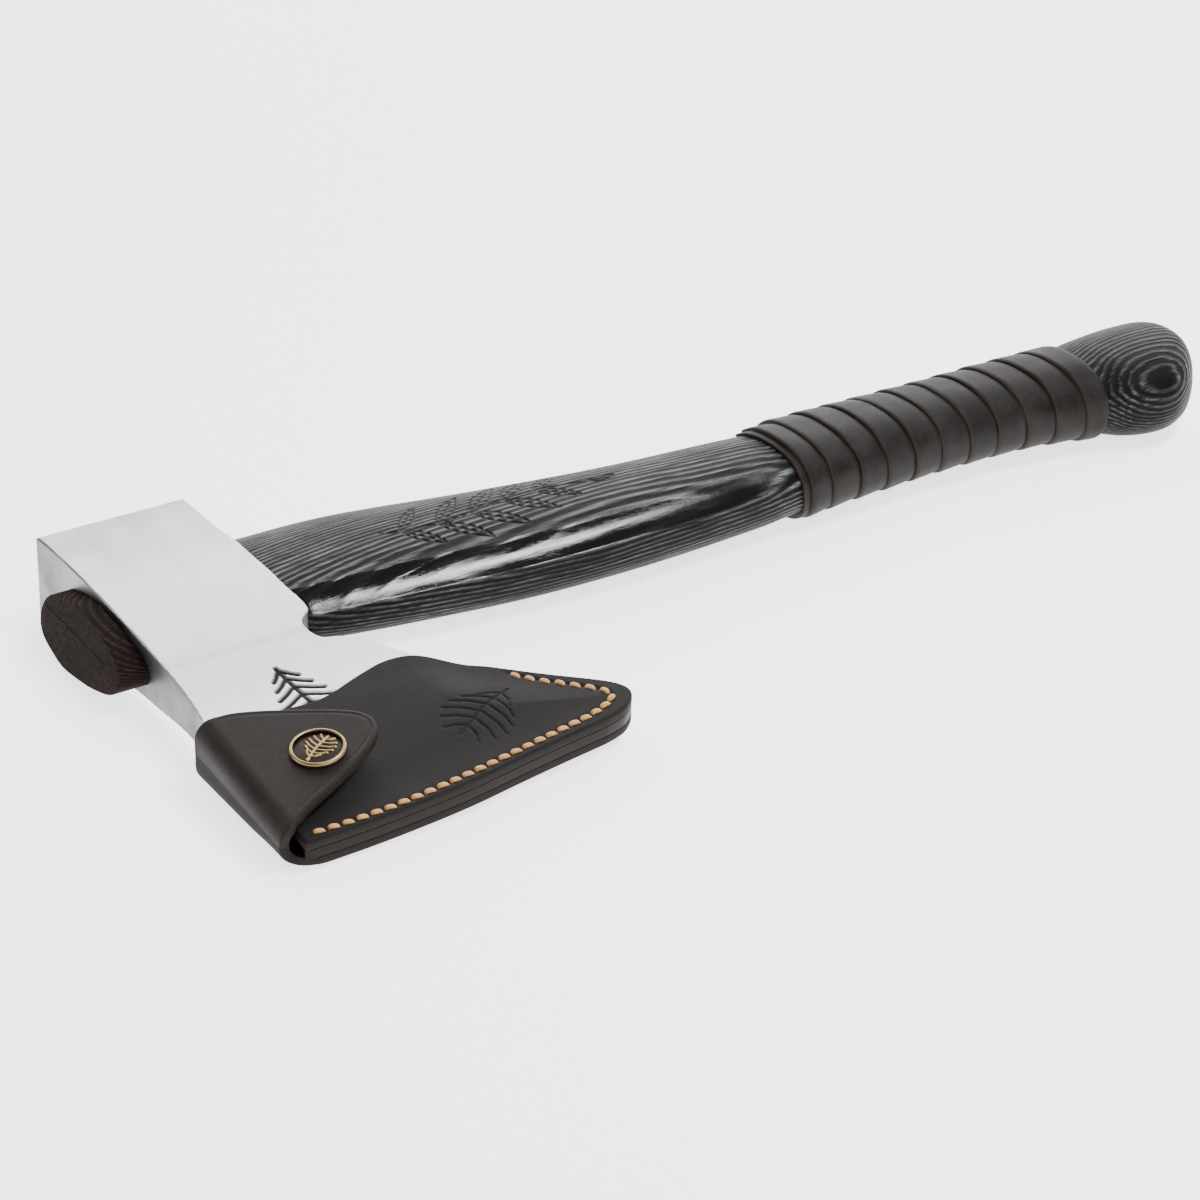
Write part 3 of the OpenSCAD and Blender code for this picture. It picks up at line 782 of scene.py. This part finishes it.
# %% Leather sheets
def rows_between(a, b, inner_rows, near=(0, 0.05, 0.16, 0.34, 0.58, 0.88, 1.25)):
    """Positions from a to b, close together near both ends."""
    near = np.array(near) * min(1, (b - a) / 7)
    mid = np.linspace(a + near[-1], b - near[-1], inner_rows)
    return np.concatenate([a + near[:-1], mid, (b - near[:-1])[::-1]])


def rounded_sheet(outer, inner, d, top=0.9, bottom=0.3):
    """Rounds both faces towards the border, where d is the distance to the cut edge."""
    arm = (outer - inner) / np.linalg.norm(outer - inner, axis=-1, keepdims=True)
    drop = [r - np.sqrt(r ** 2 - (r - np.clip(d, 0, r)) ** 2) for r in (top, bottom)]
    return outer - arm * drop[0][..., None], inner + arm * drop[1][..., None]


def border_distance(u, v, sides="abcd"):
    """Distance to the border: a is the first column, b the last row, c the last column, d the first row."""
    g = np.stack([u, v], -1)
    lines = {"a": g[0], "b": g[:, -1], "c": g[-1], "d": g[:, 0]}
    p = g.reshape(-1, 2)
    near = [near_line(p, lines[k][::2] if len(lines[k]) > 60 else lines[k]) for k in sides]
    return np.minimum.reduce(near).reshape(u.shape)


def panel_columns(middle_step):
    """Positions along a panel from the toe to its tip, closer together at both ends."""
    start, end = 1.5, UPPER[-1, 0]
    tail = end - 10 * (1 - np.sin(np.linspace(0, math.pi / 2, 30)))
    parts = spaced([(start, start + 1.2, 0.15), (start + 1.2, 50, 1.0), (50, 84, middle_step),
                    (84, end - 10, 0.8)])
    return np.concatenate([parts, tail[1:-1], [end - 0.004]])


def grid_between(xs, upper, lower, inner_rows):
    """Points [x, reach] in columns that run from the upper outline to the lower one."""
    columns = []
    for x, a, b in zip(xs, np.interp(xs, upper[:, 0], upper[:, 1]), np.interp(xs, lower[:, 0], lower[:, 1])):
        rows = rows_between(a, b, inner_rows)
        columns.append(np.stack([np.full(len(rows), x), rows], 1))
    grid = np.array(columns)
    return grid[..., 0], grid[..., 1]


def seam_groove(x, reach):
    """1 on the line of stitches and 0 away from it."""
    d = near_line(np.stack([x.ravel(), reach.ravel()], 1), SEAM).reshape(x.shape)
    return np.exp(-(d / 0.85) ** 2)


def twice(values):
    """The same marks for both faces of a sheet."""
    return np.tile(values.ravel(), 2)


# %% [markdown]
# ## Front panel
# The panel on the flap's side. Real leather is pressed with a heated stamp, which leaves sharp
# narrow valleys, so the panel's grid is dense where the fern lies. A slight swell over the
# middle keeps it from looking like a flat plate.

# %% Front panel
X, R = grid_between(panel_columns(0.38), UPPER, LOWER, 120)
left = 1.5 - 2.3 * (R - 101.5) / 54.1
X = X + (left - 1.5) * np.clip(1 - (X - 1.5) / 25, 0, 1)
d = border_distance(X, R)
g = pinched_gap(X, R)
press = stroke_depth(np.stack([X, R], -1), fern(), (80, 121.5), 150, 26, 0.30, 0.35).reshape(X.shape)
swell = 0.5 * np.exp(-((X - 62) / 26) ** 2 - ((R - 118) / 14) ** 2)
outer = np.stack([X, R, g + LEATHER + swell - 0.42 * seam_groove(X, R) - 0.42 * press], -1)
inner = np.stack([X, R, g], -1)
a, b = rounded_sheet(outer, inner, d)
points, faces = two_sided(a, b)
front = make("sheath_front_panel", points, faces, sheath_leather, "axe", 60,
             {"worn": twice(0.25 * np.exp(-d / 0.7))})
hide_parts("sheath_front")

# %% [markdown]
# ## Spacer strip
# A narrow strip of leather lies between the panels along the stitches and keeps the cutting edge
# off the thread. Its burnished outer edge shows between the two panels' edges. It is one closed
# ring of points, swept along the rim.

# %% Spacer strip between the panels
start = int(np.argmax(RIM_LINE[:, 1] > 110))
rim_pts = resample(RIM_LINE[start:], 360)
welt_inner = resample(curve([[84.6, 115.2], [92, 124.6], [97.6, 130.4], [99.6, 134.2],
                             [98.4, 136.3], [92, 138.2], [79, 140.6], [64.7, 143],
                             [38.6, 146.8], [19.6, 148.4], [1.5, 148.5]]), 360)
half_ring = [(1.0, 1), (0.25, 1), (0.04, 1), (0.008, 0.93), (0.004, 0.5)]
rows = []
for u, lift in half_ring + [(u, -lift) for u, lift in half_ring[::-1]]:
    p = rim_pts + (welt_inner - rim_pts) * u
    rows.append(np.stack([p[:, 0], p[:, 1], (pinched_gap(p[:, 0], p[:, 1]) - 0.02) * lift], 1))
pts = np.array(rows).transpose(1, 0, 2)
n = len(rows)
faces = grid_faces(len(pts), n, close_v=True)
welt = make("sheath_spacer", pts.reshape(-1, 3), faces, edge_leather, "axe", 50,
            {"worn": np.full(len(pts) * n, 0.3)}, end_caps(len(pts), n))
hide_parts("sheath_welt")

# %% [markdown]
# ## Back panel and strap
# The back panel and the strap are one piece of leather: it folds up round the toe of the blade,
# over the front, and snaps shut. The CAD turns it at two folds, so it is built as two pieces that
# meet in the middle of the strap's wall, where neither bends.

# %% Back panel with the lower half of the strap
ARC = (LOW_R - LEATHER / 2) * math.pi / 2
RISE = math.radians(FLAP_RISE)
SPLIT_Z = (LEATHER + LIFT) / 2    # height at which the strap's two halves meet
SETTLE = 25.0                     # stretch in which the columns turn from the fold's slanted line to plain x


def lower_fold(s, reach):
    """Outer and inner face of the back panel at unrolled position s, past the fold and up the wall."""
    edge = wall_x(reach) + LOW_R
    g = pinched_gap(np.maximum(s, 1.0), reach)
    a = np.maximum(edge - s, 0)
    th = np.minimum(a, ARC) / (LOW_R - LEATHER / 2)
    up = np.maximum(a - ARC, 0)
    centre = np.stack([np.where(a > 0, edge, s), reach, -(g + LEATHER) + LOW_R], -1)
    out = np.stack([-np.sin(th), np.zeros_like(th), -np.cos(th)], -1)
    lift = np.stack([np.zeros_like(up), np.zeros_like(up), up], -1)
    return centre + out * LOW_R + lift, centre + out * (LOW_R - LEATHER) + lift


def unroll(x, fold_at, wall, columns):
    """Unrolled positions: x < 1 covers the fold and the wall, the rest settles to plain x."""
    s = x + (fold_at - 1) * np.clip(1 - (x - 1) / SETTLE, 0, 1)
    return np.where(x < 1, fold_at + (x - 1) / columns * wall, s)


strap_low = curve([[-30, 152.2], [-9, 152.2], [-4, 152.5], [0, 153.9], [4, 155.8], [7, 156.2]], 10)
back_lower = np.concatenate([strap_low[:-1], LOWER[LOWER[:, 0] > 7]])
back_upper = np.concatenate([[[-30, 101.4], [-1, 101.4]], UPPER])
xs = np.concatenate([spaced([(-12, -5, 0.7), (-5, 1.5, 0.25)])[:-1], panel_columns(1.0)])
X, R = grid_between(xs, back_upper, back_lower, 60)
low_wall = SPLIT_Z + (pinched_gap(1.0, R) + LEATHER) - LOW_R
S = unroll(X, wall_x(R) + LOW_R, ARC + low_wall, 13)
d = border_distance(S, R, "bcd")
outer, inner = lower_fold(S, R)
outer[..., 2] += 0.35 * seam_groove(S, R)
a, b = rounded_sheet(outer, inner, d)
points, faces = two_sided(b, a)
back = make("sheath_back_and_strap", points, faces, sheath_leather, None, 60,
            {"worn": twice(0.25 * np.exp(-d / 0.7))})


def fold_ends(reach, start, end):
    """Two points across a fold, square to its line."""
    step = 20.0
    line = np.array(start(reach + step)) - np.array(start(reach - step))
    s, e = np.array(start(reach), float), np.array(end(reach), float)
    line /= np.linalg.norm(line)
    e = e - line * ((e - s) @ line)
    return Vector(to_row(s)), Vector(to_row(e))


a, b = fold_ends(126.0, lambda q: [wall_x(q) + LOW_R, q, -gap_z(q) - LEATHER],
                 lambda q: [wall_x(q), q, -gap_z(q) - LEATHER + LOW_R])
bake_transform(back)
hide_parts("sheath_back")

# %% [markdown]
# ## Upper half of the strap
# The strap goes on up the wall, over the upper fold and ends in the rounded flap, which rises a
# little because the snap holds it off the panel. Like the back panel it is drawn unrolled, then
# bent, and a crease line runs just inside its edge.

# %% Upper half of the strap with its flap
def fold_start(reach):
    return wall_x(reach) + FOLD_R * (1 - math.sin(RISE))


def upper_fold(s, reach):
    """Outer and inner face of the strap: up the wall, over the fold, along the rising flap."""
    edge = fold_start(reach)
    zu = gap_z(reach) + 2 * LEATHER + LIFT
    turn = math.pi / 2 - RISE
    arc = (FOLD_R - LEATHER / 2) * turn
    a = np.maximum(edge - s, 0)
    th = turn - np.minimum(a, arc) / (FOLD_R - LEATHER / 2)
    down = np.maximum(a - arc, 0)
    along = np.maximum(s - edge, 0) / math.cos(RISE)
    out = np.stack([-np.cos(th), np.zeros_like(th), np.sin(th)], -1)
    centre = np.stack([wall_x(reach) + FOLD_R, reach, zu - FOLD_R], -1)
    move = np.stack([along * math.cos(RISE), np.zeros_like(s), along * math.sin(RISE) - down], -1)
    return centre + out * FOLD_R + move, centre + out * (FOLD_R - LEATHER) + move


flap_tip = 35.2
flap_up = curve([[-30, 101.4], [-9, 101.4], [-2, 101.7], [2.5, 102.5], [6.5, 103.6], [13, 107.1],
                 [21.6, 112.9], [29.9, 119.1], [33.9, 123.4], [flap_tip, 127]], 12)
flap_low = curve([[-30, 152.2], [-9, 152.2], [-3, 151.9], [1.2, 150.6], [7.2, 147.4], [14.4, 144.1],
                  [22.5, 140.1], [29.3, 136.1], [34, 131.6], [flap_tip, 127]], 12)
round_end = flap_tip - 9.2 * (1 - np.sin(np.linspace(0, math.pi / 2, 34)))
xs = np.concatenate([spaced([(-14, -7, 1.2), (-7, 2, 0.25), (2, 26, 0.6)]), round_end[1:-1],
                     [flap_tip - 0.004]])
X, R = grid_between(xs, flap_up, flap_low, 70)
arc = (math.pi / 2 - RISE) * (FOLD_R - LEATHER / 2)
high_wall = gap_z(R) + 2 * LEATHER + LIFT - FOLD_R
S = unroll(X, fold_start(R), arc + high_wall - SPLIT_Z, 15)
d = border_distance(S, R, "bcd")
outer, inner = upper_fold(S, R)
crease = np.exp(-((d - 1.6) / 0.3) ** 2) * (S > 2)
outer[..., 2] -= 0.12 * crease
a, b = rounded_sheet(outer, inner, d, 0.7, 0.5)
points, faces = two_sided(a, b)
flap = make("strap_and_flap", points, faces, strap_leather, None, 60,
            {"worn": twice(0.5 * np.exp(-d / 0.6))})
a, b = fold_ends(126.0, lambda q: [wall_x(q), q, gap_z(q) + 2 * LEATHER + LIFT - FOLD_R],
                 lambda q: [wall_x(q) + FOLD_R, q, gap_z(q) + 2 * LEATHER + LIFT])
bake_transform(flap)
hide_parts("strap_wall", "strap_flap")

# %% [markdown]
# ## Stitches
# Waxed thread, saddle-stitched: each stitch shows as a plump bar that dives into a hole at both
# ends. They are bent tubes, one after another along the seam, on the front and on the back.

# %% Stitches
STITCH_PITCH, STEPS, SIDES = 4.1, 11, 10    # one stitch's share of the seam, and the tubes' points
seam_line = resample(SEAM, 400)
length = np.linalg.norm(np.diff(SEAM, axis=0), axis=1).sum()
count = int(length / STITCH_PITCH)
points, faces = [], []
for side in (1, -1):
    for k in range(count):
        places = np.linspace((k + 0.1) / count, (k + 0.9) / count, STEPS) * 399
        mids = np.stack([np.interp(places, range(400), seam_line[:, i]) for i in (0, 1)], 1)
        along = mids[-1] - mids[0]
        along /= np.linalg.norm(along)
        across = np.array([-along[1], along[0]])
        for j, m in enumerate(mids):
            t = j / (STEPS - 1)
            m = m + across * (t - 0.5) * 0.7 * side
            z = float(pinched_gap(m[0], m[1])) + LEATHER - 0.36
            rad = 0.82 * (0.70 + 0.30 * math.sin(math.pi * t))
            z += 0.34 - 0.95 * abs(2 * t - 1) ** 5 + 0.05 * math.sin(k * 2.3)
            for q in range(SIDES):
                a = 2 * math.pi * q / SIDES
                c = m + across * rad * 1.12 * math.cos(a)
                points.append([c[0], c[1], side * (z + rad * 0.78 * math.sin(a))])
        base = len(points) - STEPS * SIDES
        faces += grid_faces(STEPS, SIDES, close_v=True, start=base, flip=side < 0).tolist()
        faces += [[base + i for i in cap[::-1]] for cap in end_caps(STEPS, SIDES)]
stitches = make("sheath_stitches", points, faces, thread, "axe", 70)
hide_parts("sheath_thread")
print(count, "stitches on each side")

# %% [markdown]
# ## Snap
# A common leather snap: a cap with its socket on the flap, a stud with its eyelet on the front
# panel. They are turned shapes. The cap's recess carries a raised fern in place of the real one's
# mark.

# %% Snap
SNAP_X, SNAP_REACH = 17.2, 130.4


def turned(profile, frame4, n, relief):
    """Points of a profile [radius, height] turned about an axis placed by a 4x4 matrix."""
    prof = np.asarray(profile, float)
    a = np.linspace(0, 2 * math.pi, n, endpoint=False)
    r, z = np.broadcast_arrays(prof[:, 0][:, None], prof[:, 1][:, None])
    local = np.stack([r * np.cos(a), r * np.sin(a), np.broadcast_to(z, (len(prof), n))], -1)
    marks = np.zeros(local.shape[:2])
    if relief:
        marks = relief(local[..., 0], local[..., 1], local[..., 2])
        local[..., 2] += 0.28 * marks
    flat = np.concatenate([local.reshape(-1, 3), np.ones((local.size // 3, 1))], 1) @ np.array(frame4).T
    return flat[:, :3] * [1, -1, 1], marks.ravel()


slope = Matrix.Rotation(math.atan(PANEL_SLOPE), 4, "X")
fold_x = wall_x(SNAP_REACH) + FOLD_R
panel_top = gap_z(SNAP_REACH) + LEATHER
flap_frame = (Matrix.Translation((fold_x, -SNAP_REACH, panel_top + LEATHER + LIFT))
              @ slope @ Matrix.Rotation(-RISE, 4, "Y") @ Matrix.Translation((SNAP_X - fold_x, 0, 0)))
panel_frame = Matrix.Translation((SNAP_X + 0.2, -SNAP_REACH, panel_top)) @ slope


def snap_piece(cad, profile, frame4, body, relief=None, patina=None, smooth=40, n=96):
    """A turned brass piece that takes the place of the CAD node of the same name."""
    pts, marks = turned(profile, frame4, n, relief)
    faces = grid_faces(len(profile), n, close_v=True)
    r = np.repeat(np.asarray(profile)[:, 0], n)
    dark = (patina(r) if patina else np.full(len(pts), 0.25)) * (1 - 0.8 * marks)
    obj = make(cad + "_visual", pts, faces, brass, body, smooth, {"patina": dark}, end_caps(len(profile), n))
    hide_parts(cad)


def cap_relief(px, py, pz):
    on = np.hypot(px, py) < 5.6
    p = np.stack([px.ravel(), py.ravel()], 1)
    m = stroke_depth(p, fern(), (-4.6, -2.6), 30, 10.6, 0.3, 0.22).reshape(px.shape)
    return m * on * (pz > 0.4)


rings = [[r, 0.95 - 0.24 * (r / 6.3) ** 2] for r in np.linspace(6.28, 0.05, 46)]
post_and_rim = [[1.6, -LEATHER - 0.4], [1.7, -LEATHER - 0.2], [1.7, 0.05], [6.9, 0.05], [7.25, 0.2],
                [7.45, 0.5], [7.5, 0.85], [7.44, 1.15], [7.28, 1.4], [7.05, 1.56], [6.82, 1.6],
                [6.62, 1.52], [6.48, 1.3], [6.4, 0.95], [6.34, 0.72]]
socket_profile = [[1.8, -0.05], [1.8, -0.4], [3.2, -0.4], [3.9, -0.5], [3.9, -1.45], [4.1, -1.5],
                  [4.9, -1.5], [5.3, -1.2], [5.55, -0.5], [5.55, -0.05]]
stud_profile = [[1.8, 2.05], [2.4, 2], [2.75, 1.7], [2.75, 1.2], [2.4, 0.8], [2.6, 0.5], [4, 0.45],
                [4.4, 0.3], [4.4, 0.05], [1.8, 0.05]]
eyelet_profile = [[1.2, 1.5], [1.75, 1.5], [1.75, -2.25], [4.9, -2.3], [4.9, -2.7], [1.2, -2.7]]
under_flap = flap_frame @ Matrix.Translation((0, 0, -LEATHER))
snap_piece("snap_cap", post_and_rim + rings, flap_frame, "strap_flap", cap_relief,
           lambda r: np.where(r < 6.5, 0.95, 0.2), 50, 160)
snap_piece("snap_socket", socket_profile, under_flap, "strap_flap")
snap_piece("snap_stud", stud_profile, panel_frame, "axe")
snap_piece("snap_eyelet", eyelet_profile, panel_frame, "axe")
spring = frame["nodes"]["snap_spring"]
spring.data.materials.clear()
spring.data.materials.append(spring_steel)

# %% [markdown]
# ## Studio
# A white sweep lit from above and behind, as in a product photograph: the ground and the
# background run into each other, the steel reflects white, and a long lamp makes the streak on
# the haft's facet.

# %% Floor, lights and camera
def floor_piece():
    m, t, s = new_material("floor", (0.93, 0.93, 0.93), 0.9)
    s.inputs["Specular IOR Level"].default_value = 0.1
    s.inputs["Emission Color"].default_value = (1, 1, 1, 1)
    s.inputs["Emission Strength"].default_value = 2.2
    bend = 1.2
    rows = [(-2.2, 0), (1.2, 0)]
    rows += [(1.2 + bend * math.sin(a), bend - bend * math.cos(a)) for a in np.linspace(0.1, 1.4, 12)]
    rows += [(2.6, 3.6)]
    pts = [(x, y, z) for x in (-3.2, 3.2) for y, z in rows]
    n = len(rows)
    mesh = bpy.data.meshes.new("floor")
    mesh.from_pydata(pts, [], [[i, n + i, n + i + 1, i + 1] for i in range(n - 1)])
    mesh.shade_smooth()
    obj = bpy.data.objects.new("floor", mesh)
    bpy.context.scene.collection.objects.link(obj)
    mesh.materials.append(m)
    turn = Matrix.Rotation(math.radians(-33.3), 4, "Z")
    obj.matrix_world = turn @ Matrix.Translation((0, 0, -0.0002))
    return obj


def area(name, at, look, size, power):
    data = bpy.data.lights.new(name, "AREA")
    data.shape, data.size, data.size_y, data.energy = "RECTANGLE", *size, power
    obj = bpy.data.objects.new(name, data)
    bpy.context.scene.collection.objects.link(obj)
    at, look = Vector(at), Vector(look)
    obj.location = at
    obj.rotation_euler = (look - at).to_track_quat("-Z", "Y").to_euler()
    return obj


floor = floor_piece()
centre = Vector((0.0, -0.03, 0.01))
lamps = [area("lamp_back", (0.62, 1.15, 0.66), centre, (1.6, 0.7), 12),
         area("lamp_streak", (0.29, -0.29, 0.9), (0.29, -0.29, 0.0), (0.40, 0.26), 11.0),
         area("lamp_left", (-1.2, 0.35, 0.35), centre, (0.6, 0.5), 2.0),
         area("lamp_front", (-0.2, -1.3, 1.3), centre, (1.0, 0.5), 8)]
lamps[1].rotation_euler = (0, 0, 0)
world = bpy.data.worlds.new("studio")
bpy.context.scene.world = world
world.use_nodes = True
world.node_tree.nodes["Background"].inputs["Color"].default_value = (1, 1, 1, 1)
world.node_tree.nodes["Background"].inputs["Strength"].default_value = 0.22

# %% [markdown]
# ## Camera
# The view is from the head's side, down at about 27 degrees. The direction and the 105 mm lens come
# from one fit to the straight edges of the head and tenon, with the head's tilt taken as 3.3 degrees.
# Another tilt would give another lens.

# %% Camera
cam_data = bpy.data.cameras.new("camera")
cam_data.lens, cam_data.sensor_width = 105, 36
camera = bpy.data.objects.new("camera", cam_data)
camera.location = (-0.5414, -0.74409, 0.4645)
camera.rotation_euler = [math.radians(v) for v in (62.75208, -0.72159, -33.30279)]
bpy.context.scene.collection.objects.link(camera)
bpy.context.scene.camera = camera
